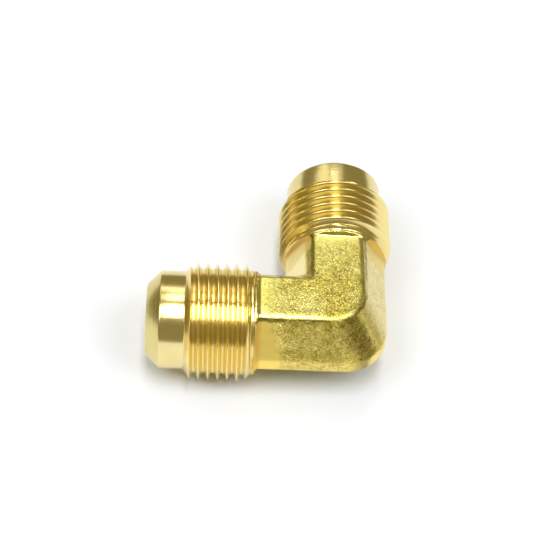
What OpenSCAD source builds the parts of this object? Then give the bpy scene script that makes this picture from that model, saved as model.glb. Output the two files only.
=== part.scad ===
// 45 degree flare union elbow, 5/8 in tube both ways, one brass forging.
// The origin is the point where the two bore axes cross. One end looks along -X, the other
// along +Y, and the forging's two wrench flats face +Z and -Z.

/* [Flare ends] */
// Centre of the elbow to the face of each end
centre_to_end = 36.3; // [34:0.1:46]
// Outside diameter of the flare nut thread
thread_d = 22.1; // [18:0.1:27]
// Threads per inch
threads_per_inch = 14; // [12:1:20]
// Whole thread crests on each end
full_threads = 6; // [3:1:8]
// How far the nose is turned below the root of the thread, on diameter
nose_clearance = 1.2; // [0.6:0.1:3]
// Length of the straight nose behind the seat
nose_len = 4.7; // [2:0.1:8]
// Angle of the flare seat to the bore axis
seat_angle = 45; // [37:1:50]
// Width of the flat ring between the bore and the seat
seat_edge = 0.4; // [0.2:0.05:1]
// Angle of the lead-in chamfer at the start of the thread, to the bore axis
lead_angle = 55; // [40:1:65]
// Plain turned neck between the end of the thread and the shoulder
neck_len = 0.7; // [0.4:0.1:4]
// Length over which the turned neck falls away to the forging
shoulder_len = 1.2; // [0.8:0.1:2.5]

/* [Bores] */
// Diameter of both drilled bores
bore_d = 12.7; // [9:0.1:15.5]
// How far each drill cuts full size past the centre
bore_past_centre = 3; // [0:0.1:3.5]
// Included angle of the drill point
drill_point = 118; // [90:1:140]

/* [Forging] */
// Across the two wrench flats
across_flats = 17.4; // [16:0.1:21]
// Width of each wrench flat
flat_w = 9.6; // [6:0.1:13]
// Width of the forging at the upright band on its parting line
band_w = 19.3; // [18.5:0.1:24]
// Height of the upright band
band_h = 2.5; // [1:0.1:5]
// Radius of the heel at the band
heel_r = 8.4; // [6:0.1:9.6]
// Radius of the wrench flat's corner at the heel
heel_flat_r = 7; // [5:0.1:9]

/* [Hidden] */
$fn = 96;

INCH = 25.4;
// Unified external thread: its depth and its flat crest as shares of the pitch, and the
// slope of a flank to the square-on direction
THREAD_DEPTH = 0.6134;
THREAD_CREST = 1 / 8;
FLANK_ANGLE = 30;
// How far a cut or a join runs past the face it meets
OVERLAP = 0.5;

pitch = INCH / threads_per_inch;
thread_r = thread_d / 2;
root_r = thread_r - THREAD_DEPTH * pitch;
nose_r = root_r - nose_clearance / 2;
bore_r = bore_d / 2;
seat_edge_r = bore_r + seat_edge;

flat_z = across_flats / 2;
flat_x = flat_w / 2;
band_x = band_w / 2;
band_z = band_h / 2;

// Half the width of one thread crest, at its top and at its foot
crest_top = THREAD_CREST * pitch / 2;
crest_foot = crest_top + THREAD_DEPTH * pitch * tan(FLANK_ANGLE);

// The neck covers every corner of the forged section
neck_r = max(root_r, norm([flat_x, flat_z]), norm([band_x, band_z]));

// Stations along an end, counted from its face towards the centre
seat_end = (nose_r - seat_edge_r) / tan(seat_angle);
lead_start = seat_end + nose_len;
lead_end = lead_start + (thread_r - nose_r) / tan(lead_angle);
last_crest = lead_end + (full_threads - 0.5) * pitch;
blank_end = last_crest + pitch / 4;
neck_start = blank_end + max(0, thread_r - neck_r);
neck_end = neck_start + neck_len;
shoulder_end = neck_end + shoulder_len;

// The heel turns about a point outside the crossing of the axes, and the corner of the
// wrench flat about a point inside it
heel_offset = band_x - heel_r;
heel_flat_offset = heel_flat_r - flat_x;
// Radius, at the level of the band, of the cone that the flat's corner runs down along
heel_foot_r = heel_r + norm([1, 1]) * (heel_offset + heel_flat_offset);

// Half of the forged section, from its axis outwards, pulled in by cut
function half_section(cut) = [
    [0, -flat_z],
    [flat_x - cut, -flat_z],
    [band_x - cut, -band_z],
    [band_x - cut, band_z],
    [flat_x - cut, flat_z],
    [0, flat_z]
];

// One thread crest around a station, as radius and station
function crest(station) = [
    [root_r, station - crest_foot],
    [thread_r, station - crest_top],
    [thread_r, station + crest_top],
    [root_r, station + crest_foot]
];

// Turned blank of one end before threading
module end_blank() {
    rotate_extrude()
        polygon([
            [0, 0],
            [seat_edge_r, 0],
            [nose_r, seat_end],
            [nose_r, lead_start],
            [thread_r, lead_end],
            [thread_r, blank_end],
            [neck_r, neck_start],
            [neck_r, neck_end],
            [neck_r - shoulder_len, shoulder_end],
            [0, shoulder_end]
        ]);
}

// What the threading die leaves: the root cylinder and a ring for each turn, with a part
// ring on the lead-in chamfer and another where the thread runs out
module thread_envelope() {
    runout = last_crest + pitch;
    rotate_extrude()
        polygon([
            [0, 0],
            [root_r, 0],
            for (i = [-full_threads : 0])
                each crest(last_crest + i * pitch),
            [root_r, runout - crest_foot],
            [thread_r, runout - crest_top],
            [thread_r, shoulder_end],
            [0, shoulder_end]
        ]);
}

// One threaded end, standing on -X with its face away from the centre
module flare_end() {
    translate([-centre_to_end, 0, 0])
        rotate([0, 90, 0])
            intersection() {
                end_blank();
                thread_envelope();
            }
}

// Straight forged bar from inside the neck on -X to the start of the heel
module bar() {
    bar_start = centre_to_end - neck_end + OVERLAP;
    section = concat(half_section(0), [for (p = half_section(0)) [-p[0], -p[1]]]);
    translate([-bar_start, 0, 0])
        rotate([90, 0, 90])
            linear_extrude(height = bar_start + heel_offset)
                polygon(section);
}

// Round heel between the two bars
module heel() {
    translate([heel_offset, -heel_offset, 0])
        rotate([0, 0, -90])
            rotate_extrude(angle = 90)
                polygon(half_section(heel_offset));
}

// Waste above the band at the heel, outside the cone from the flat's corner
module heel_waste() {
    outside_r = heel_foot_r + band_w;
    translate([-heel_flat_offset, heel_flat_offset, 0])
        rotate([0, 0, -90])
            rotate_extrude(angle = 90)
                polygon([
                    [heel_foot_r, band_z],
                    [outside_r, band_z],
                    [outside_r, flat_z + OVERLAP],
                    [heel_flat_r, flat_z + OVERLAP],
                    [heel_flat_r, flat_z]
                ]);
}

// Everything that repeats on the +Y end is the -X end mirrored about the heel's diagonal
module both_ends() {
    children();
    mirror([1, 1, 0]) children();
}

// Bore drilled from the -X end, with its drill point
module bore() {
    translate([-centre_to_end, 0, 0])
        rotate([0, 90, 0]) {
            translate([0, 0, -OVERLAP])
                cylinder(h = centre_to_end + bore_past_centre + OVERLAP, r = bore_r);
            translate([0, 0, centre_to_end + bore_past_centre])
                cylinder(h = bore_r / tan(drill_point / 2), r1 = bore_r, r2 = 0);
        }
}

module forging() {
    difference() {
        union() {
            both_ends() bar();
            heel();
        }
        heel_waste();
        mirror([0, 0, 1]) heel_waste();
    }
}

module elbow_body() {
    color("goldenrod")
        difference() {
            union() {
                forging();
                both_ends() flare_end();
            }
            both_ends() bore();
        }
}

elbow_body();
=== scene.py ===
"""Brass flare union elbow for 5/8 in tube: one forging, turned, threaded and drilled at both ends."""

import math

import bpy
import numpy as np
from mathutils import Matrix, Vector, noise


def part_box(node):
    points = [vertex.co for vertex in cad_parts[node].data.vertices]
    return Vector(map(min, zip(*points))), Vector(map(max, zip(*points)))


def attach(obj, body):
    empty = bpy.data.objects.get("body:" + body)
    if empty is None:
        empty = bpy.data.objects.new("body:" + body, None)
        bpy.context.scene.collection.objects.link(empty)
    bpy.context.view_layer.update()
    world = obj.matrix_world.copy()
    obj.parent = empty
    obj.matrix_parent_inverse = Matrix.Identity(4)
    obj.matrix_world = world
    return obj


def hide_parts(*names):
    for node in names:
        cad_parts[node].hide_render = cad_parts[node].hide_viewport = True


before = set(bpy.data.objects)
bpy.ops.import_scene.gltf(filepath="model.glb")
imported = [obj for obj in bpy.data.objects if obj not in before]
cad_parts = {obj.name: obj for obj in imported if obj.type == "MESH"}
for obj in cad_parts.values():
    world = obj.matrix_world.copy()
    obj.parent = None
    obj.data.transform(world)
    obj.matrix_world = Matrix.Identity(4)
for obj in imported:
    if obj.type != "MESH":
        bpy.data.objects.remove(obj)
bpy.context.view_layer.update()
body_low, body_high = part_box("elbow_body")

MM = 0.001

# Sizes in millimetres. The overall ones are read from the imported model.
CENTRE_TO_END = -body_low[0] / MM
THREAD_R = body_high[2] / MM
PITCH = 25.4 / 14
THREAD_DEPTH = 0.6134 * PITCH
CREST_WIDTH = PITCH / 8
FLANK_WIDTH = THREAD_DEPTH * math.tan(math.radians(30))
ROOT_ROUNDING = 1.4
# Distance from the centre to a crest, straight above the bore axis, on each end
CREST_A = 26.596
CREST_B = 27.09

# Turned blank of an end: distances from its face, and radii
FACE_R = 6.75
NOSE_R = 9.337
SEAT_END = NOSE_R - FACE_R
NOSE_LENGTH = 4.7
LEAD_START = SEAT_END + NOSE_LENGTH
LEAD_END = LEAD_START + 1.2
BLANK_END = 18.95
NECK_START = 20.2
NECK_R = 9.8
NECK_END = 20.62
CORE_END = 23.2
CORE_R = 7.6
CORE_OVERLAP = 2.5
# Length of the step behind the neck, and of the broken edge on every turned corner
NECK_STEP = 0.3
EDGE_ROUND = 0.16

BORE_R = 6.35
BORE_PAST_CENTRE = 3.0
DRILL_HALF_ANGLE = math.radians(59)
# Broken edge at the bore's mouth, and how far the drill stands out of it
MOUTH_BREAK = 0.15
DRILL_OUT = 1.0

# Forged section: two wrench flats, an upright band on the parting line, four sloped sides
FLAT_Z = 8.7
FLAT_X = 4.65
BAND_X = 9.65
BAND_Z = 1.25
HEEL_R = 8.4
HEEL_FLAT_R = 7.8
# Width of the 45 degree strip between the flat and the inner side
INNER_STRIP = 1.8
COLLAR_R = 9.86
COLLAR_FACE = CENTRE_TO_END - 20.75
COLLAR_END = CENTRE_TO_END - 20.3
# Level distance from a sloped side to straight distance
SIDE_SLOPE = 0.84
# How wide the forging's edges are rounded off
BAND_EDGE = 0.35
STRIP_EDGE = 0.2
INNER_CORNER = 1.2
OUTER_FLAT_EDGE = 0.8
INNER_FLAT_EDGE = 0.35
COLLAR_EDGE = 0.25
# Fillet at a collar: its width on the flats, what the sides add, and where and over what height
FLAT_FILLET = 0.6
SIDE_FILLET = 0.6
FILLET_TOP = 8.6
FILLET_HEIGHT = 2.5

# Steps round a bore and a turned end, rows of faces in a turn of thread, and rows before the crest
BORE_ROUND = 128
ROUND = 144
ROWS_A_TURN = 24
ROWS_TO_CREST = 57
# Cell of the grid that the forging's skin is drawn on
SKIN_CELL = 0.28


def linear(hex_colour):
    """Linear RGBA of an sRGB hex colour."""
    parts = [int(hex_colour[i:i + 2], 16) / 255 for i in (1, 3, 5)]
    return [c / 12.92 if c <= 0.04045 else ((c + 0.055) / 1.055) ** 2.4 for c in parts] + [1.0]


def add(tree, kind, settings=None, inputs=None):
    """Adds a node with its settings and links.

    An input takes a plain value, a socket, or a node, which stands for its first live output.
    """
    node = tree.nodes.new(kind)
    for name, value in (settings or {}).items():
        setattr(node, name, value)
    for name, value in (inputs or {}).items():
        if isinstance(value, bpy.types.Node):
            value = next(out for out in value.outputs if out.enabled)
        if isinstance(value, bpy.types.NodeSocket):
            tree.links.new(value, node.inputs[name])
        else:
            node.inputs[name].default_value = value
    return node


# ---------------------------------------------------------------- brass finishes

# Settings that many nodes share
PRODUCT = {"operation": "MULTIPLY"}
SUM = {"operation": "ADD"}
GAP = {"operation": "SUBTRACT"}
QUOTIENT = {"operation": "DIVIDE"}
PRODUCT_AND_SUM = {"operation": "MULTIPLY_ADD"}
LARGER = {"operation": "MAXIMUM"}
SMALLER = {"operation": "MINIMUM"}
UNSIGNED = {"operation": "ABSOLUTE"}
SMOOTH = {"interpolation_type": "SMOOTHSTEP"}
COLOUR = {"data_type": "RGBA"}
TINTED_BY = {"data_type": "RGBA", "blend_type": "MULTIPLY"}
# Inputs of a Map Range node: the value, its range, and what each end of the range becomes
VALUE, LOW, HIGH, AT_LOW, AT_HIGH = range(5)
# Inputs of a Mix node for colours: the share of the second colour, and both colours
SHARE, FIRST, SECOND = 0, 6, 7


def new_material(name):
    """An empty node material, and its tree."""
    material = bpy.data.materials.new(name)
    material.use_nodes = True
    material.node_tree.nodes.clear()
    return material, material.node_tree


def end_coordinates(tree):
    """The place, and the distances along the nearer end, across it and up, all in millimetres.

    The ends look along -X and +Y, so the larger of -x and y runs along the nearer one. The
    smaller is positive on the inside of the bend and negative on the outside.
    """
    metres = add(tree, "ShaderNodeTexCoord").outputs["Object"]
    place = add(tree, "ShaderNodeVectorMath", {"operation": "SCALE"}, {0: metres, "Scale": 1 / MM})
    split = add(tree, "ShaderNodeSeparateXYZ", inputs={0: place}).outputs
    back = add(tree, "ShaderNodeMath", PRODUCT, {0: split["X"], 1: -1.0})
    along = add(tree, "ShaderNodeMath", LARGER, {0: back, 1: split["Y"]})
    across = add(tree, "ShaderNodeMath", SMALLER, {0: back, 1: split["Y"]})
    return place, along, across, split["Z"]


def metal_surface(tree, colour, roughness, height, relief, strength=1.0):
    """The bare metal's shader, with a height pattern whose relief is in millimetres."""
    bump = add(tree, "ShaderNodeBump",
               inputs={"Height": height, "Distance": relief * MM, "Strength": strength})
    metal = add(tree, "ShaderNodeBsdfPrincipled",
                inputs={"Metallic": 1.0, "Base Color": colour, "Roughness": roughness, "Normal": bump})
    add(tree, "ShaderNodeOutputMaterial", inputs={"Surface": metal})


def forged_zones(tree, place, along, across, level, pits, stain):
    """Shares from 0 to 1 for where the die, the trimming and handling changed the forged skin, and for where
    shade and reflections are painted on it.
    """
    # Below the wrench flats, on the outside of the bend, and how far the surface turns towards +X
    sides = add(tree, "ShaderNodeMapRange", SMOOTH,
                {VALUE: level, LOW: 7.9, HIGH: 8.2, AT_LOW: 1.0, AT_HIGH: 0.0})
    outside = add(tree, "ShaderNodeMapRange", SMOOTH,
                  {VALUE: across, LOW: -1.0, HIGH: 1.0, AT_LOW: 1.0, AT_HIGH: 0.0})
    normal = add(tree, "ShaderNodeTexCoord").outputs["Normal"]
    facing = add(tree, "ShaderNodeSeparateXYZ", inputs={0: normal}).outputs["X"]

    # Satin beside the collars: it ends within 2 mm on the sides and fades out slowly on the flats
    leaning = add(tree, "ShaderNodeMath", PRODUCT_AND_SUM, {0: level, 1: -0.32, 2: along})
    uneven = add(tree, "ShaderNodeMath", PRODUCT_AND_SUM, {0: pits, 1: 2.6, 2: leaning})
    low_satin = add(tree, "ShaderNodeMapRange", SMOOTH, {VALUE: uneven, LOW: 10.8, HIGH: 12.6})
    flat_satin = add(tree, "ShaderNodeMapRange", SMOOTH, {VALUE: uneven, LOW: 8.0, HIGH: 14.6})
    satin_sides = add(tree, "ShaderNodeMath", PRODUCT, {0: low_satin, 1: sides})

    # Smooth on the outer edge of each wrench flat
    above_side = add(tree, "ShaderNodeMapRange", SMOOTH, {VALUE: level, LOW: 7.8, HIGH: 8.1})
    below_flat = add(tree, "ShaderNodeMapRange", SMOOTH,
                     {VALUE: level, LOW: 8.58, HIGH: 8.68, AT_LOW: 0.65, AT_HIGH: 0.0})
    rounded = add(tree, "ShaderNodeMath", PRODUCT, {0: above_side, 1: below_flat})
    edge = add(tree, "ShaderNodeMath", PRODUCT, {0: rounded, 1: outside})

    # Smoother on the heel, smooth on the inner sides, and rubbed where the forging faces +X, where a
    # reflection of the floor is also painted
    frayed = add(tree, "ShaderNodeMath", PRODUCT_AND_SUM, {0: pits, 1: 5.0, 2: along})
    past_bend = add(tree, "ShaderNodeMapRange", SMOOTH,
                    {VALUE: frayed, LOW: 0.6, HIGH: 2.6, AT_LOW: 0.4, AT_HIGH: 0.0})
    heel = add(tree, "ShaderNodeMath", PRODUCT, {0: sides, 1: past_bend})
    under_flat = add(tree, "ShaderNodeMapRange", SMOOTH,
                     {VALUE: level, LOW: 8.4, HIGH: 8.6, AT_LOW: 1.0, AT_HIGH: 0.0})
    inner_half = add(tree, "ShaderNodeMapRange", SMOOTH, {VALUE: across, LOW: 4.7, HIGH: 5.1})
    inner = add(tree, "ShaderNodeMath", PRODUCT, {0: under_flat, 1: inner_half})
    rubbed_and_floor_reflection = add(tree, "ShaderNodeMapRange", SMOOTH, {VALUE: facing, LOW: 0.55, HIGH: 0.64, AT_HIGH: 0.7})
    smooth = satin_sides
    for zone in (flat_satin, edge, heel, inner, rubbed_and_floor_reflection):
        smooth = add(tree, "ShaderNodeMath", LARGER, {0: smooth, 1: zone})

    # Painted shade in a ragged dark line just below each edge of the flats, heavier in some stretches
    line_at = add(tree, "ShaderNodeMapRange", inputs={VALUE: outside, AT_LOW: 8.66, AT_HIGH: 8.38})
    below_line = add(tree, "ShaderNodeMath", GAP, {0: level, 1: line_at})
    ragged = add(tree, "ShaderNodeMath", PRODUCT_AND_SUM, {0: pits, 1: 0.9, 2: below_line})
    off_line = add(tree, "ShaderNodeMath", UNSIGNED, {0: ragged})
    edge_line_shade = add(tree, "ShaderNodeMapRange", SMOOTH,
                {VALUE: off_line, LOW: 0.14, HIGH: 0.40, AT_LOW: 0.8, AT_HIGH: 0.0})
    stretches = add(tree, "ShaderNodeMapRange", SMOOTH,
                    {VALUE: stain, LOW: 0.38, HIGH: 0.54, AT_LOW: 0.3, AT_HIGH: 1.0})
    less_inside = add(tree, "ShaderNodeMapRange", inputs={VALUE: outside, AT_LOW: 0.8, AT_HIGH: 1.0})
    for share in (stretches, less_inside):
        edge_line_shade = add(tree, "ShaderNodeMath", PRODUCT, {0: edge_line_shade, 1: share})

    # Fresh gold on the trimmed band and beside the collars, and a painted gold-orange reflection of the
    # threads on the collars themselves
    on_band = add(tree, "ShaderNodeMapRange", SMOOTH,
                  {VALUE: level, LOW: 1.3, HIGH: 2.4, AT_LOW: 0.95, AT_HIGH: 0.0})
    by_collar = add(tree, "ShaderNodeMath", PRODUCT, {0: satin_sides, 1: 0.85})
    trimmed = add(tree, "ShaderNodeMath", LARGER, {0: on_band, 1: by_collar})
    on_collar = add(tree, "ShaderNodeMapRange", SMOOTH, {VALUE: along, LOW: 14.4, HIGH: 15.2, AT_HIGH: 0.6})
    painted_thread_reflection = add(tree, "ShaderNodeMath", PRODUCT, {0: sides, 1: on_collar})

    # Painted reflection of the bright floor: pale on the inner sides below their strip, and on the side
    # facing +X away from the heel's mitre
    mitre = add(tree, "ShaderNodeMath", GAP, {0: along, 1: across})
    from_mitre = add(tree, "ShaderNodeMath", PRODUCT_AND_SUM, {0: pits, 1: 3.0, 2: mitre})
    below_strip = add(tree, "ShaderNodeMapRange", SMOOTH,
                      {VALUE: level, LOW: 6.6, HIGH: 7.1, AT_LOW: 0.85, AT_HIGH: 0.1})
    painted_reflection_inside = add(tree, "ShaderNodeMath", PRODUCT, {0: inner, 1: below_strip})
    off_mitre = add(tree, "ShaderNodeMapRange", SMOOTH,
                    {VALUE: from_mitre, LOW: 3.0, HIGH: 9.0, AT_LOW: 0.1, AT_HIGH: 1.0})
    painted_reflection_facing_x = add(tree, "ShaderNodeMath", PRODUCT, {0: rubbed_and_floor_reflection, 1: off_mitre})
    painted_floor_reflection = add(tree, "ShaderNodeMath", LARGER, {0: painted_reflection_inside, 1: painted_reflection_facing_x})

    # At the front of the heel, reddish in blooms about 9 mm across, and painted shade darkens it along the
    # mitre
    not_rubbed = add(tree, "ShaderNodeMapRange", SMOOTH,
                     {VALUE: facing, LOW: 0.50, HIGH: 0.62, AT_LOW: 1.0, AT_HIGH: 0.0})
    front = add(tree, "ShaderNodeMath", PRODUCT, {0: sides, 1: not_rubbed})
    bloom = add(tree, "ShaderNodeTexNoise", inputs={"Vector": place, "Scale": 1 / 9.09, "Detail": 2.0})
    blooms = add(tree, "ShaderNodeMapRange", SMOOTH, {VALUE: bloom, LOW: 0.50, HIGH: 0.66, AT_HIGH: 0.4})
    off_band = add(tree, "ShaderNodeMapRange", SMOOTH, {VALUE: level, LOW: 2.0, HIGH: 3.5})
    at_heel = add(tree, "ShaderNodeMapRange", SMOOTH,
                  {VALUE: frayed, LOW: 3.0, HIGH: 8.0, AT_LOW: 1.0, AT_HIGH: 0.0})
    by_mitre = add(tree, "ShaderNodeMapRange", SMOOTH,
                   {VALUE: from_mitre, LOW: 3.6, HIGH: 10.5, AT_LOW: 0.85, AT_HIGH: 0.0})
    reddish, heel_front_shade = front, front
    for share in (blooms, off_band, at_heel):
        reddish = add(tree, "ShaderNodeMath", PRODUCT, {0: reddish, 1: share})
    for share in (outside, by_mitre):
        heel_front_shade = add(tree, "ShaderNodeMath", PRODUCT, {0: heel_front_shade, 1: share})
    return {"sides": sides, "satin_sides": satin_sides, "smooth": smooth, "edge_line_shade": edge_line_shade, "trimmed": trimmed,
            "painted_thread_reflection": painted_thread_reflection, "painted_floor_reflection": painted_floor_reflection, "reddish": reddish, "heel_front_shade": heel_front_shade}


def forged_brass():
    """Hot-forged brass, blasted clean and left as forged.

    Shallow curled furrows 0.6 mm apart and softer pits break each reflection into glints, and painted shade
    in the furrows makes olive streaks.
    Painted shade also runs along the flats' edges and the heel's front, and painted reflections of the floor
    and the threads lighten some sides.
    Beside the turned collars and along the edges the die left it smooth.
    """
    material, tree = new_material("forged_brass_blasted")
    place, along, across, up = end_coordinates(tree)
    level = add(tree, "ShaderNodeMath", UNSIGNED, {0: up})
    # Curled skin, soft pits and grit, and stain in patches of 6 to 7 mm
    skin = add(tree, "ShaderNodeTexNoise", inputs={"Vector": place, "Scale": 1 / 0.625, "Detail": 2.0,
                                                   "Roughness": 0.55, "Distortion": 1.7})
    pits = add(tree, "ShaderNodeTexNoise", inputs={"Vector": place, "Scale": 1 / 1.1765, "Detail": 3.0,
                                                   "Roughness": 0.65})
    grit = add(tree, "ShaderNodeTexNoise", inputs={"Vector": place, "Scale": 1 / 0.2381, "Detail": 2.0})
    stain = add(tree, "ShaderNodeTexNoise", inputs={"Vector": place, "Scale": 1 / 6.667, "Detail": 4.0,
                                                    "Roughness": 0.6})
    zones = forged_zones(tree, place, along, across, level, pits, stain)

    # Furrows follow the lines where the skin noise crosses its middle value
    centred = add(tree, "ShaderNodeMath", GAP, {0: skin, 1: 0.5})
    apart = add(tree, "ShaderNodeMath", UNSIGNED, {0: centred})
    furrow = add(tree, "ShaderNodeMapRange", SMOOTH, {VALUE: apart, LOW: 0.0, HIGH: 0.10})

    patches = add(tree, "ShaderNodeMapRange", inputs={VALUE: stain, LOW: 0.34, HIGH: 0.62})
    metal = add(tree, "ShaderNodeMix", COLOUR,
                {SHARE: patches, FIRST: linear("#E4D368"), SECOND: linear("#F2E88E")})
    golden = add(tree, "ShaderNodeMath", PRODUCT, {0: zones["sides"], 1: 0.5})
    # Painted reflections of the floor and of the threads are mixed in with the metal's own tones
    for share, tint in ((golden, "#E8CB62"), (zones["trimmed"], "#FFE47C"), (zones["painted_floor_reflection"], "#FAEBB0"),
                        (zones["painted_thread_reflection"], "#E2B248"), (zones["reddish"], "#D9A45C")):
        metal = add(tree, "ShaderNodeMix", COLOUR, {SHARE: share, FIRST: metal, SECOND: linear(tint)})

    # Painted shade darkens the furrows: more on the sides, in patches and between the pits, less where
    # smooth
    painted_shade = add(tree, "ShaderNodeMapRange", inputs={VALUE: furrow, AT_LOW: 1.0, AT_HIGH: 0.0})
    on_sides = add(tree, "ShaderNodeMapRange", inputs={VALUE: zones["sides"], AT_LOW: 0.9, AT_HIGH: 1.0})
    shade_patches = add(tree, "ShaderNodeMapRange", SMOOTH,
                  {VALUE: stain, LOW: 0.36, HIGH: 0.60, AT_LOW: 1.0, AT_HIGH: 0.55})
    broken = add(tree, "ShaderNodeMapRange", SMOOTH,
                 {VALUE: pits, LOW: 0.42, HIGH: 0.56, AT_LOW: 1.0, AT_HIGH: 0.3})
    rough = add(tree, "ShaderNodeMapRange", inputs={VALUE: zones["smooth"], AT_LOW: 1.0, AT_HIGH: 0.12})
    for share in (on_sides, shade_patches, broken, rough):
        painted_shade = add(tree, "ShaderNodeMath", PRODUCT, {0: painted_shade, 1: share})
    # The painted shade along the flats' edges and at the heel's front is added to the furrows' painted shade
    for mark in ("edge_line_shade", "heel_front_shade"):
        painted_shade = add(tree, "ShaderNodeMath", LARGER, {0: painted_shade, 1: zones[mark]})
    # The painted shade tints the metal dark olive
    colour = add(tree, "ShaderNodeMix", TINTED_BY, {SHARE: painted_shade, FIRST: metal, SECOND: linear("#7C7A45")})

    gloss = add(tree, "ShaderNodeMapRange",
                inputs={VALUE: pits, LOW: 0.3, HIGH: 0.7, AT_LOW: 0.17, AT_HIGH: 0.27})
    roughness = add(tree, "ShaderNodeMath", PRODUCT_AND_SUM, {0: zones["satin_sides"], 1: 0.30, 2: gloss})
    soft = add(tree, "ShaderNodeMath", PRODUCT_AND_SUM, {0: pits, 1: 1.3, 2: furrow})
    height = add(tree, "ShaderNodeMath", PRODUCT_AND_SUM, {0: grit, 1: 0.2, 2: soft})
    kept = add(tree, "ShaderNodeMapRange", inputs={VALUE: zones["smooth"], AT_LOW: 1.0, AT_HIGH: 0.06})
    deeper = add(tree, "ShaderNodeMapRange", inputs={VALUE: zones["sides"], AT_LOW: 0.43, AT_HIGH: 1.0})
    strength = add(tree, "ShaderNodeMath", PRODUCT, {0: kept, 1: deeper})
    metal_surface(tree, colour, roughness, height, 0.07, strength)
    return material


def turned_brass():
    """Free-cutting brass straight from the lathe: bright, with fine rings left by the tool.

    The rings spread each reflection along the bore axis and leave it sharp around it.
    """
    material, tree = new_material("turned_brass")
    place, along, across, _ = end_coordinates(tree)
    # Real feed marks are about 0.1 mm apart. They are drawn at twice that, so that they show
    wobble = add(tree, "ShaderNodeMath", PRODUCT, {0: across, 1: 0.004})
    rings_at = add(tree, "ShaderNodeCombineXYZ", inputs={"X": along, "Y": wobble})
    rings = add(tree, "ShaderNodeTexNoise", inputs={"Vector": rings_at, "Scale": 1 / 0.2222, "Detail": 2.0,
                                                    "Roughness": 0.7})
    # Handling scratches about 1 mm long, and tarnish in patches of 7 mm
    scratches = add(tree, "ShaderNodeTexNoise", inputs={"Vector": place, "Scale": 1 / 1.111, "Detail": 3.0})
    tarnish = add(tree, "ShaderNodeTexNoise", inputs={"Vector": place, "Scale": 1 / 7.143, "Detail": 3.0})
    patches = add(tree, "ShaderNodeMapRange", inputs={VALUE: tarnish, LOW: 0.32, HIGH: 0.66})
    tone = add(tree, "ShaderNodeMix", COLOUR,
               {SHARE: patches, FIRST: linear("#E6D28C"), SECOND: linear("#EFDFA0")})
    # Painted shade darkens the cone of the seat against the straight nose
    seat_at = CENTRE_TO_END - SEAT_END
    blend = 0.1
    seat = add(tree, "ShaderNodeMapRange",
               inputs={VALUE: along, LOW: seat_at - blend, HIGH: seat_at + blend, AT_HIGH: 0.5})
    colour = add(tree, "ShaderNodeMix", TINTED_BY, {SHARE: seat, FIRST: tone, SECOND: linear("#DEDABC")})
    roughness = add(tree, "ShaderNodeMapRange", inputs={VALUE: scratches, AT_LOW: 0.12, AT_HIGH: 0.24})
    metal_surface(tree, colour, roughness, rings, 0.022)
    return material


def cut_thread_brass():
    """Brass cut by a die: bright crests and flanks, and roots made a deeper gold by painted shade."""
    material, tree = new_material("die_cut_thread_brass")
    place, _, across, up = end_coordinates(tree)
    away = add(tree, "ShaderNodeCombineXYZ", inputs={"X": across, "Y": up})
    radius = add(tree, "ShaderNodeVectorMath", {"operation": "LENGTH"}, {0: away}).outputs["Value"]
    root, near_crest = THREAD_R - THREAD_DEPTH, THREAD_R - 0.2 * THREAD_DEPTH
    # Painted shade: the roots are coloured a deeper gold than the crests
    raised = add(tree, "ShaderNodeMapRange", inputs={VALUE: radius, LOW: root, HIGH: near_crest})
    colour = add(tree, "ShaderNodeMix", COLOUR,
                 {SHARE: raised, FIRST: linear("#EED588"), SECOND: linear("#F3E19C")})
    # Tears 0.6 mm long, where the chip broke away
    tear = add(tree, "ShaderNodeTexNoise", inputs={"Vector": place, "Scale": 1 / 0.625, "Detail": 3.0})
    roughness = add(tree, "ShaderNodeMapRange", inputs={VALUE: tear, AT_LOW: 0.16, AT_HIGH: 0.26})
    metal_surface(tree, colour, roughness, tear, 0.004)
    return material


def drilled_brass():
    """Drilled bore: the same brass with coarser spiral marks, duller, and coloured darker than the turned
    brass.
    """
    material, tree = new_material("drilled_brass")
    place, along, _, _ = end_coordinates(tree)
    # Drill marks about 0.5 mm apart along the bore
    marks_at = add(tree, "ShaderNodeCombineXYZ", inputs={"X": along})
    marks = add(tree, "ShaderNodeTexNoise", inputs={"Vector": marks_at, "Scale": 1 / 0.5556, "Detail": 2.0})
    cloud = add(tree, "ShaderNodeTexNoise", inputs={"Vector": place, "Scale": 1 / 5.0, "Detail": 3.0})
    patches = add(tree, "ShaderNodeMapRange", inputs={VALUE: cloud, LOW: 0.35, HIGH: 0.65})
    colour = add(tree, "ShaderNodeMix", COLOUR,
                 {SHARE: patches, FIRST: linear("#B98F3E"), SECOND: linear("#D6B561")})
    metal_surface(tree, colour, 0.3, marks, 0.02)
    return material


FORGED, TURNED, THREADED, DRILLED = range(4)
finishes = [forged_brass(), turned_brass(), cut_thread_brass(), drilled_brass()]


# ---------------------------------------------------------------- shapes

def brass_object(name, points, faces, finish):
    """An object whose points are given in millimetres, with every finish in its slots."""
    mesh = bpy.data.meshes.new(name)
    mesh.from_pydata([tuple(p) for p in np.asarray(points) * MM], [], [tuple(f) for f in faces])
    for material in finishes:
        mesh.materials.append(material)
    mesh.polygons.foreach_set("material_index", [finish] * len(mesh.polygons))
    mesh.validate()
    thing = bpy.data.objects.new(name, mesh)
    bpy.context.scene.collection.objects.link(thing)
    return thing


def made_plain(thing, name):
    """What the modifiers of an object make, as a plain object in its place."""
    graph = bpy.context.evaluated_depsgraph_get()
    mesh = bpy.data.meshes.new_from_object(thing.evaluated_get(graph))
    plain = bpy.data.objects.new(name, mesh)
    bpy.context.scene.collection.objects.link(plain)
    bpy.data.objects.remove(thing)
    return plain


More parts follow.
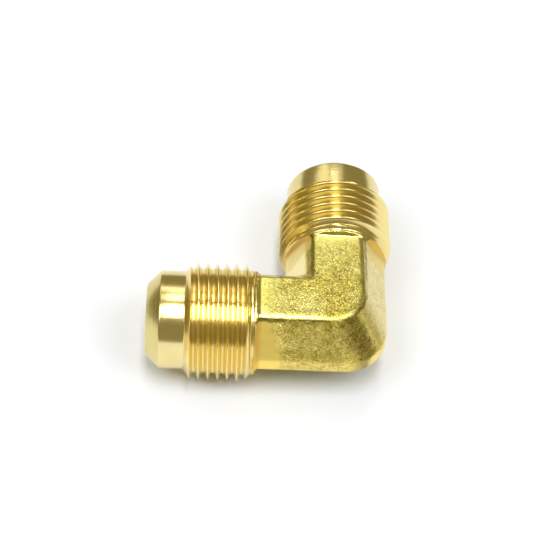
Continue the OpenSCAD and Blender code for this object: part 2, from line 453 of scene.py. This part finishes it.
def rounded_profile(corners, radius, steps=3):
    """A profile with every inner corner turned over a small radius."""
    out = [corners[0]]
    for before, corner, after in zip(corners, corners[1:], corners[2:]):
        before, corner, after = (np.array(p, float) for p in (before, corner, after))
        one, two = before - corner, after - corner
        reach = min(radius, np.linalg.norm(one) * 0.45, np.linalg.norm(two) * 0.45)
        start = corner + one / np.linalg.norm(one) * reach
        end = corner + two / np.linalg.norm(two) * reach
        for t in np.linspace(0, 1, steps + 1):
            out.append(tuple((1 - t) ** 2 * start + 2 * t * (1 - t) * corner + t * t * end))
    return out + [corners[-1]]


def closed_grid(rows, first_pole, last_pole):
    """Points and faces of a tube of rows of points, closed to a pole at each end.

    Points that fall together, as at a seam, become one.
    """
    points, faces = [], []
    known = {}

    def number(point):
        key = tuple(np.round(point, 5))
        if key not in known:
            known[key] = len(points)
            points.append(point)
        return known[key]

    table = [[number(p) for p in row] for row in rows]
    start, end = number(first_pole), number(last_pole)
    for low, high in zip(table, table[1:]):
        for i in range(len(low) - 1):
            ring = [low[i], low[i + 1], high[i + 1], high[i]]
            corners = [v for k, v in enumerate(ring) if v != ring[k - 1]]
            if len(set(corners)) > 2:
                faces.append(corners)
    faces += [[start, table[0][i + 1], table[0][i]] for i in range(len(table[0]) - 1)]
    faces += [[end, table[-1][i], table[-1][i + 1]] for i in range(len(table[-1]) - 1)]
    return points, faces


def turned_blank():
    """Turned end before threading, standing on +Z with its face away from the centre.

    Its rows of faces follow the helix that the die will cut, and run in and out of it on
    the straight nose and inside the forging, so that the thread's edges stay crisp.
    """
    inside_bore = 4.0
    corners = [(0, inside_bore), (0, FACE_R), (SEAT_END, NOSE_R), (LEAD_START, NOSE_R),
               (LEAD_END, THREAD_R), (BLANK_END, THREAD_R), (NECK_START, NECK_R), (NECK_END, NECK_R),
               (NECK_END + NECK_STEP, CORE_R), (CORE_END + CORE_OVERLAP, CORE_R)]
    profile = rounded_profile(corners, EDGE_ROUND)
    station, radius = np.array(profile).T
    # The helix enters on the nose a whole number of rows before the crest
    enter = CENTRE_TO_END - CREST_A - ROWS_TO_CREST / ROWS_A_TURN * PITCH
    leave = CORE_END - PITCH
    turns = round((leave - enter) / PITCH * ROWS_A_TURN)
    leave = enter + turns / ROWS_A_TURN * PITCH
    turn = np.linspace(0, 1, ROUND + 1)

    def row(stations, radii):
        stations = stations + np.zeros(ROUND + 1)
        angle = -2 * math.pi * turn
        angle[-1] = 0.0
        return np.stack([radii * np.cos(angle), radii * np.sin(angle), CENTRE_TO_END - stations], 1)

    def blank_row(stations):
        stations = stations + np.zeros(ROUND + 1)
        return row(stations, np.interp(stations, station[1:], radius[1:]))

    rows = [row(s, r) for s, r in profile if s < enter - 0.2]
    rows += [blank_row(enter * np.ones(1))]
    rows += [blank_row(enter + PITCH * turn * i / ROWS_A_TURN) for i in range(1, ROWS_A_TURN + 1)]
    rows += [blank_row(enter + PITCH * (turn + i / ROWS_A_TURN)) for i in range(1, turns + 1)]
    rows += [blank_row(leave + PITCH * (turn + (1 - turn) * i / ROWS_A_TURN))
             for i in range(1, ROWS_A_TURN + 1)]
    tail = leave + PITCH
    points, faces = closed_grid(rows, (0, 0, CENTRE_TO_END), (0, 0, CENTRE_TO_END - tail))
    return brass_object("turned_blank", points, faces, TURNED)


def threading_die():
    """Geometry Nodes tree that cuts a right-hand thread into a blank standing on Z."""
    tree = bpy.data.node_groups.new("threading_die", "GeometryNodeTree")
    sizes = {"Thread radius": THREAD_R * MM, "Pitch": PITCH * MM, "Thread depth": THREAD_DEPTH * MM,
             "Crest width": CREST_WIDTH * MM, "Flank width": FLANK_WIDTH * MM, "Crest height": CREST_A * MM,
             "Root rounding": ROOT_ROUNDING,
             "Thread start": (CENTRE_TO_END - NECK_START) * MM,
             "Thread end": (CENTRE_TO_END - LEAD_START - 0.1) * MM}
    tree.interface.new_socket("Geometry", in_out="INPUT", socket_type="NodeSocketGeometry")
    sockets = {}
    for name in sizes:
        sockets[name] = tree.interface.new_socket(name, in_out="INPUT", socket_type="NodeSocketFloat")
    for name in ("Turned", "Threaded"):
        sockets[name] = tree.interface.new_socket(name, in_out="INPUT", socket_type="NodeSocketMaterial")
    tree.interface.new_socket("Geometry", in_out="OUTPUT", socket_type="NodeSocketGeometry")
    given = add(tree, "NodeGroupInput").outputs

    place = add(tree, "GeometryNodeInputPosition")
    split = add(tree, "ShaderNodeSeparateXYZ", inputs={0: place}).outputs
    flat = add(tree, "ShaderNodeCombineXYZ", inputs={"X": split["X"], "Y": split["Y"]})
    radius = add(tree, "ShaderNodeVectorMath", {"operation": "LENGTH"}, {0: flat}).outputs["Value"]

    # How far each point lies from the middle of the nearest crest, in pitches, then past its edge
    angle = add(tree, "ShaderNodeMath", {"operation": "ARCTAN2"}, {0: split["Y"], 1: split["X"]})
    turn = add(tree, "ShaderNodeMath", QUOTIENT, {0: angle, 1: 2 * math.pi})
    height = add(tree, "ShaderNodeMath", GAP, {0: split["Z"], 1: given["Crest height"]})
    climb = add(tree, "ShaderNodeMath", QUOTIENT, {0: height, 1: given["Pitch"]})
    ahead = add(tree, "ShaderNodeMath", GAP, {0: climb, 1: turn})
    wrapped = add(tree, "ShaderNodeMath", {"operation": "WRAP"}, {0: ahead, 1: 0.5, 2: -0.5})
    beside = add(tree, "ShaderNodeMath", UNSIGNED, {0: wrapped})
    from_middle = add(tree, "ShaderNodeMath", PRODUCT, {0: beside, 1: given["Pitch"]})
    half_crest = add(tree, "ShaderNodeMath", PRODUCT, {0: given["Crest width"], 1: 0.5})
    off_crest = add(tree, "ShaderNodeMath", GAP, {0: from_middle, 1: half_crest})
    share = add(tree, "ShaderNodeMath", QUOTIENT | {"use_clamp": True},
                {0: off_crest, 1: given["Flank width"]})

    # The groove is straight near the crest and levels off into a round root
    left = add(tree, "ShaderNodeMath", GAP, {0: 1.0, 1: share})
    rounded = add(tree, "ShaderNodeMath", {"operation": "POWER"}, {0: left, 1: given["Root rounding"]})
    sunk = add(tree, "ShaderNodeMath", GAP, {0: 1.0, 1: rounded})
    depth = add(tree, "ShaderNodeMath", PRODUCT, {0: sunk, 1: given["Thread depth"]})
    groove = add(tree, "ShaderNodeMath", GAP, {0: given["Thread radius"], 1: depth})

    # Whatever stands higher than the groove is cut down to it, straight towards the axis
    cut_radius = add(tree, "ShaderNodeMath", SMALLER, {0: radius, 1: groove})
    blank_radius = add(tree, "ShaderNodeMath", LARGER, {0: radius, 1: 1e-6})
    kept = add(tree, "ShaderNodeMath", QUOTIENT, {0: cut_radius, 1: blank_radius})
    scaled = add(tree, "ShaderNodeVectorMath", {"operation": "SCALE"}, {0: flat, "Scale": kept})
    lifted = add(tree, "ShaderNodeCombineXYZ", inputs={"Z": split["Z"]})
    moved = add(tree, "ShaderNodeVectorMath", SUM, {0: scaled, 1: lifted})
    cut = add(tree, "GeometryNodeSetPosition", inputs={"Geometry": given["Geometry"], "Position": moved})

    past_start = add(tree, "ShaderNodeMath", {"operation": "GREATER_THAN"},
                     {0: split["Z"], 1: given["Thread start"]})
    before_end = add(tree, "ShaderNodeMath", {"operation": "LESS_THAN"},
                     {0: split["Z"], 1: given["Thread end"]})
    on_thread = add(tree, "ShaderNodeMath", PRODUCT, {0: past_start, 1: before_end})
    whole = add(tree, "GeometryNodeRealizeInstances", inputs={"Geometry": cut})
    turned = add(tree, "GeometryNodeSetMaterial", inputs={"Geometry": whole, "Material": given["Turned"]})
    threaded = add(tree, "GeometryNodeSetMaterial",
                   inputs={"Geometry": turned, "Selection": on_thread, "Material": given["Threaded"]})
    add(tree, "NodeGroupOutput", inputs={"Geometry": threaded})
    values = {sockets[name].identifier: value for name, value in sizes.items()}
    values[sockets["Turned"].identifier] = finishes[TURNED]
    values[sockets["Threaded"].identifier] = finishes[THREADED]
    return tree, values


def flare_end(name, outward, turn):
    """A finished end, moved to its place: outward is where its face looks."""
    blank = turned_blank()
    die = blank.modifiers.new("die", "NODES")
    die.node_group, values = threading_die()
    for identifier, value in values.items():
        die[identifier] = value
    end = made_plain(blank, name)
    up = Vector((0, 0, 1))
    side = outward.cross(up)
    place = Matrix((up, side, outward)).transposed()
    end.data.transform((place @ Matrix.Rotation(turn, 3, "Z")).to_4x4())
    order = [end.data.materials.find(material.name) for material in finishes]
    index = np.empty(len(end.data.polygons), int)
    end.data.polygons.foreach_get("material_index", index)
    finish = np.array([order.index(i) for i in index])
    end.data.materials.clear()
    for material in finishes:
        end.data.materials.append(material)
    end.data.polygons.foreach_set("material_index", finish)
    return end


def drill(name, outward):
    """What the drill takes from one end, with its point and the broken edge at the mouth."""
    tip = BORE_PAST_CENTRE + BORE_R / math.tan(DRILL_HALF_ANGLE)
    web = 0.3
    corners = [(CENTRE_TO_END + DRILL_OUT, BORE_R + DRILL_OUT + MOUTH_BREAK),
               (CENTRE_TO_END - MOUTH_BREAK, BORE_R), (-BORE_PAST_CENTRE, BORE_R), (-tip, web)]
    angle = np.append(np.linspace(0, 2 * math.pi, BORE_ROUND, endpoint=False), 0.0)
    rows = [np.stack([r * np.cos(angle), -r * np.sin(angle), np.full(len(angle), z)], 1) for z, r in corners]
    points, faces = closed_grid(rows, (0, 0, corners[0][0]), (0, 0, -tip))
    waste = brass_object(name, points, faces, DRILLED)
    up = Vector((0, 0, 1))
    waste.data.transform(Matrix((up, outward.cross(up), outward)).transposed().to_4x4())
    return waste


def soft_max(a, b, blend):
    """The larger of two distances, with the edge between them rounded off."""
    near = np.maximum(blend - np.abs(a - b), 0) / blend
    return np.maximum(a, b) + near * near * blend / 4


def soft_min(a, b, blend):
    """The smaller of two distances, with the corner between them filled."""
    return -soft_max(-a, -b, blend)


def forging_distance(p):
    """How far outside the rough forging each point is, in millimetres."""
    x, y, z = p[..., 0], p[..., 1], p[..., 2]
    high = np.abs(z)
    above_band = soft_max(high - BAND_Z, 0 * high, BAND_EDGE)
    share = above_band / (FLAT_Z - BAND_Z)
    half = BAND_X - (BAND_X - FLAT_X) * share
    corner = HEEL_R + (HEEL_FLAT_R - HEEL_R) * share
    right, front = x - half + corner, -y - half + corner
    turned = np.hypot(np.maximum(right, 0), np.maximum(front, 0))
    outer = turned + np.minimum(np.maximum(right, front), 0) - corner
    # The inner side is steeper, and broken by a 45 degree strip under the flat
    steep = BAND_X - (BAND_X - FLAT_X - INNER_STRIP) * above_band / (FLAT_Z - INNER_STRIP - BAND_Z)
    inside = soft_min(steep, FLAT_X + FLAT_Z - high, STRIP_EDGE)
    inner = soft_min(y - inside, -x - inside, INNER_CORNER)
    top = high - FLAT_Z
    body = np.maximum(soft_max(outer * SIDE_SLOPE, top, OUTER_FLAT_EDGE),
                      soft_max(inner * SIDE_SLOPE, top, INNER_FLAT_EDGE))
    # The fillet at a collar is tight on the flats and wider on the sides
    fillet = FLAT_FILLET + SIDE_FILLET * np.clip((FILLET_TOP - high) / FILLET_HEIGHT, 0, 1)
    for along, across in ((-x, y), (y, x)):
        collar = soft_max(np.hypot(across, z) - COLLAR_R, COLLAR_FACE - along, COLLAR_EDGE)
        body = soft_min(body, collar, fillet)
        body = np.maximum(body, along - COLLAR_END)
    return body


def skin_of(distance, low, high, cell):
    """A closed mesh of even four-sided faces where the distance is nought."""
    axes = [np.arange(a, b + cell, cell) for a, b in zip(low, high)]
    inside = distance(np.stack(np.meshgrid(*axes, indexing="ij"), -1)) < 0
    count = sum(inside[i:len(axes[0]) - 1 + i, j:len(axes[1]) - 1 + j, k:len(axes[2]) - 1 + k].astype(int)
                for i in (0, 1) for j in (0, 1) for k in (0, 1))
    used = (count > 0) & (count < 8)
    number = np.full(used.shape, -1)
    number[used] = np.arange(used.sum())
    points = np.array(low) + (np.argwhere(used) + 0.5) * cell
    faces = []
    for axis in range(3):
        one, two = [i for i in range(3) if i != axis]
        a = np.take(inside, range(len(axes[axis]) - 1), axis)
        b = np.take(inside, range(1, len(axes[axis])), axis)
        edges = np.argwhere(a != b)
        leaves = a[tuple(edges.T)]
        ring = []
        for d1, d2 in ((-1, -1), (0, -1), (0, 0), (-1, 0)):
            cell_at = edges.copy()
            cell_at[:, one] += d1
            cell_at[:, two] += d2
            ring.append(number[tuple(cell_at.T)])
        ring = np.stack(ring, 1)
        flip = leaves if axis != 1 else ~leaves
        faces.append(np.where(flip[:, None], ring, ring[:, ::-1]))
    return points, np.concatenate(faces)


def drawn_to(distance, points, times):
    """Points moved onto the surface where the distance is nought."""
    step = 0.01
    for _ in range(times):
        here = distance(points)
        slope = np.stack([(distance(points + np.eye(3)[i] * step) - here) / step for i in range(3)], 1)
        points = points - slope * (here / np.maximum((slope ** 2).sum(1), 0.05))[:, None]
    return points


def evened(points, faces):
    """Each point moved to the middle of its neighbours."""
    total, count = np.zeros_like(points), np.zeros(len(points))
    for a, b in ((0, 1), (1, 2), (2, 3), (3, 0)):
        np.add.at(total, faces[:, a], points[faces[:, b]])
        np.add.at(total, faces[:, b], points[faces[:, a]])
        np.add.at(count, faces[:, a], 1)
        np.add.at(count, faces[:, b], 1)
    return total / count[:, None]


def rough_forging():
    """The elbow as it leaves the die: flats, sloped sides, trimmed band, heel and collars."""
    reach = COLLAR_END + 0.4
    half = COLLAR_R + 0.54
    points, faces = skin_of(forging_distance, (-reach, -half, -half), (half, reach, half), SKIN_CELL)
    points = drawn_to(forging_distance, points, 3)
    for _ in range(4):
        points = drawn_to(forging_distance, evened(points, faces), 2)
    # Scale and die wear: wide and small dents, a few hundredths deep, none on the collars
    here = forging_distance(points)
    step = 0.02
    slope = np.stack([forging_distance(points + np.eye(3)[i] * step) - here for i in range(3)], 1)
    slope /= np.maximum(np.linalg.norm(slope, axis=1), 1e-9)[:, None]
    fade_start, fade_length = 13.0, 2.0
    plain = np.clip((np.maximum(-points[:, 0], points[:, 1]) - fade_start) / fade_length, 0, 1)
    wide_depth, small_depth, worn = 0.020, 0.012, 0.012
    dents = np.array([wide_depth * noise.noise(Vector(p) * 0.5) + small_depth * noise.noise(Vector(p) * 1.6)
                      for p in points.tolist()])
    points = points + slope * (dents * (1 - plain) - worn)[:, None]
    return brass_object("rough_forging", points, faces.tolist(), FORGED)


def elbow():
    """The finished elbow: forging and turned ends in one, then drilled from both sides."""
    body = rough_forging()
    left, back = Vector((-1, 0, 0)), Vector((0, 1, 0))
    shift = (CREST_A - CREST_B) / PITCH * 2 * math.pi
    tools = [(flare_end("end_a", left, 0.0), "UNION"), (flare_end("end_b", back, shift), "UNION"),
             (drill("drill_a", left), "DIFFERENCE"), (drill("drill_b", back), "DIFFERENCE")]
    for tool, operation in tools:
        cut = body.modifiers.new(tool.name, "BOOLEAN")
        cut.operation = operation
        cut.solver = "MANIFOLD"
        cut.object = tool
    whole = made_plain(body, "elbow_brass")
    for tool, _ in tools:
        bpy.data.objects.remove(tool)
    whole.data.polygons.foreach_set("use_smooth", [True] * len(whole.data.polygons))
    whole.data.set_sharp_from_angle(angle=math.radians(42))
    return whole


# ---------------------------------------------------------------- the table and the light

def table_top():
    """Matt white paper sweep that the elbow lies on."""
    top = body_low[2]
    size = 12.0
    mesh = bpy.data.meshes.new("table_top")
    mesh.from_pydata([(-size, -size, top), (size, -size, top), (size, size, top), (-size, size, top)],
                     [], [(0, 1, 2, 3)])
    paper = bpy.data.materials.new("matt_white_paper")
    paper.use_nodes = True
    shader = paper.node_tree.nodes["Principled BSDF"]
    shader.inputs["Base Color"].default_value = linear("#F1F3F7")
    shader.inputs["Roughness"].default_value = 0.7
    shader.inputs["Specular IOR Level"].default_value = 0.2
    mesh.materials.append(paper)
    thing = bpy.data.objects.new("table_top", mesh)
    bpy.context.scene.collection.objects.link(thing)
    return thing


def soft_box(name, from_where, width, height, brightness, colour):
    """A rectangular lamp that faces the elbow; brightness is watts for each square metre."""
    lamp = bpy.data.lights.new(name, "AREA")
    lamp.shape = "RECTANGLE"
    lamp.size, lamp.size_y = width, height
    lamp.energy = brightness * width * height
    lamp.color = linear(colour)[:3]
    thing = bpy.data.objects.new(name, lamp)
    thing.location = from_where
    thing.rotation_euler = (-Vector(from_where)).to_track_quat("-Z", "Y").to_euler()
    bpy.context.scene.collection.objects.link(thing)


def studio():
    """A strip lamp overhead, soft boxes high at both sides, and a dim warm room."""
    soft_box("strip_front", (0.0, -0.32, 1.1), 0.15, 0.54, 62.0, "#FFFFFF")
    soft_box("strip_back", (0.0, 0.31, 1.1), 0.15, 0.30, 20.0, "#FFFFFF")
    soft_box("strip_low", (0.0, 0.61, 0.96), 0.24, 0.42, 3.6, "#FFFFFF")
    soft_box("strip_slit", (-0.11, 0.71, 0.89), 0.04, 0.30, 9.0, "#FFFFFF")
    soft_box("back_glow", (0.10, 0.76, 0.84), 0.34, 0.36, 1.6, "#FFFFFF")
    soft_box("left_back", (-0.52, 0.66, 0.74), 0.76, 0.44, 2.9, "#FFFFF4")
    soft_box("left_high", (-0.70, -0.42, 1.15), 0.7, 0.7, 14.0, "#E6EEFF")
    soft_box("right_high", (0.70, -0.42, 1.15), 0.7, 0.7, 14.0, "#E6EEFF")
    world = bpy.data.worlds.new("dim_room")
    world.use_nodes = True
    bpy.context.scene.world = world
    ground = world.node_tree.nodes["Background"]
    ground.inputs["Color"].default_value = linear("#FFF0B8")
    ground.inputs["Strength"].default_value = 0.29


def camera():
    """Long lens from above and in front, rolled a little."""
    azimuth, elevation, roll = math.radians(-3.94), math.radians(51.46), math.radians(5.63)
    into = Vector((-math.sin(azimuth) * math.cos(elevation), math.cos(azimuth) * math.cos(elevation),
                   -math.sin(elevation)))
    level = Vector((math.cos(azimuth), math.sin(azimuth), 0))
    upright = level.cross(into)
    right = level * math.cos(roll) + upright * math.sin(roll)
    up = upright * math.cos(roll) - level * math.sin(roll)
    lens = bpy.data.cameras.new("camera")
    lens.sensor_width = 36
    lens.lens = 104.93
    lens.clip_start = 0.01
    thing = bpy.data.objects.new("camera", lens)
    spin = Matrix((right, up, -into)).transposed().to_4x4()
    # The elbow's centre as seen from the camera: to the right, down, and ahead
    off_right, off_down, ahead = 13.36, 11.49, 297.5
    stand = (right * off_right - up * off_down + into * ahead) * -MM
    thing.matrix_world = Matrix.Translation(stand) @ spin
    bpy.context.scene.collection.objects.link(thing)
    bpy.context.scene.camera = thing


camera()
studio()
table_top()
brass = elbow()
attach(brass, "root")
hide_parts("elbow_body")
bpy.context.scene.view_settings.view_transform = "Standard"

triangles = sum(len(p.vertices) - 2 for p in brass.data.polygons)
print("faces", len(brass.data.polygons), "triangles", triangles)
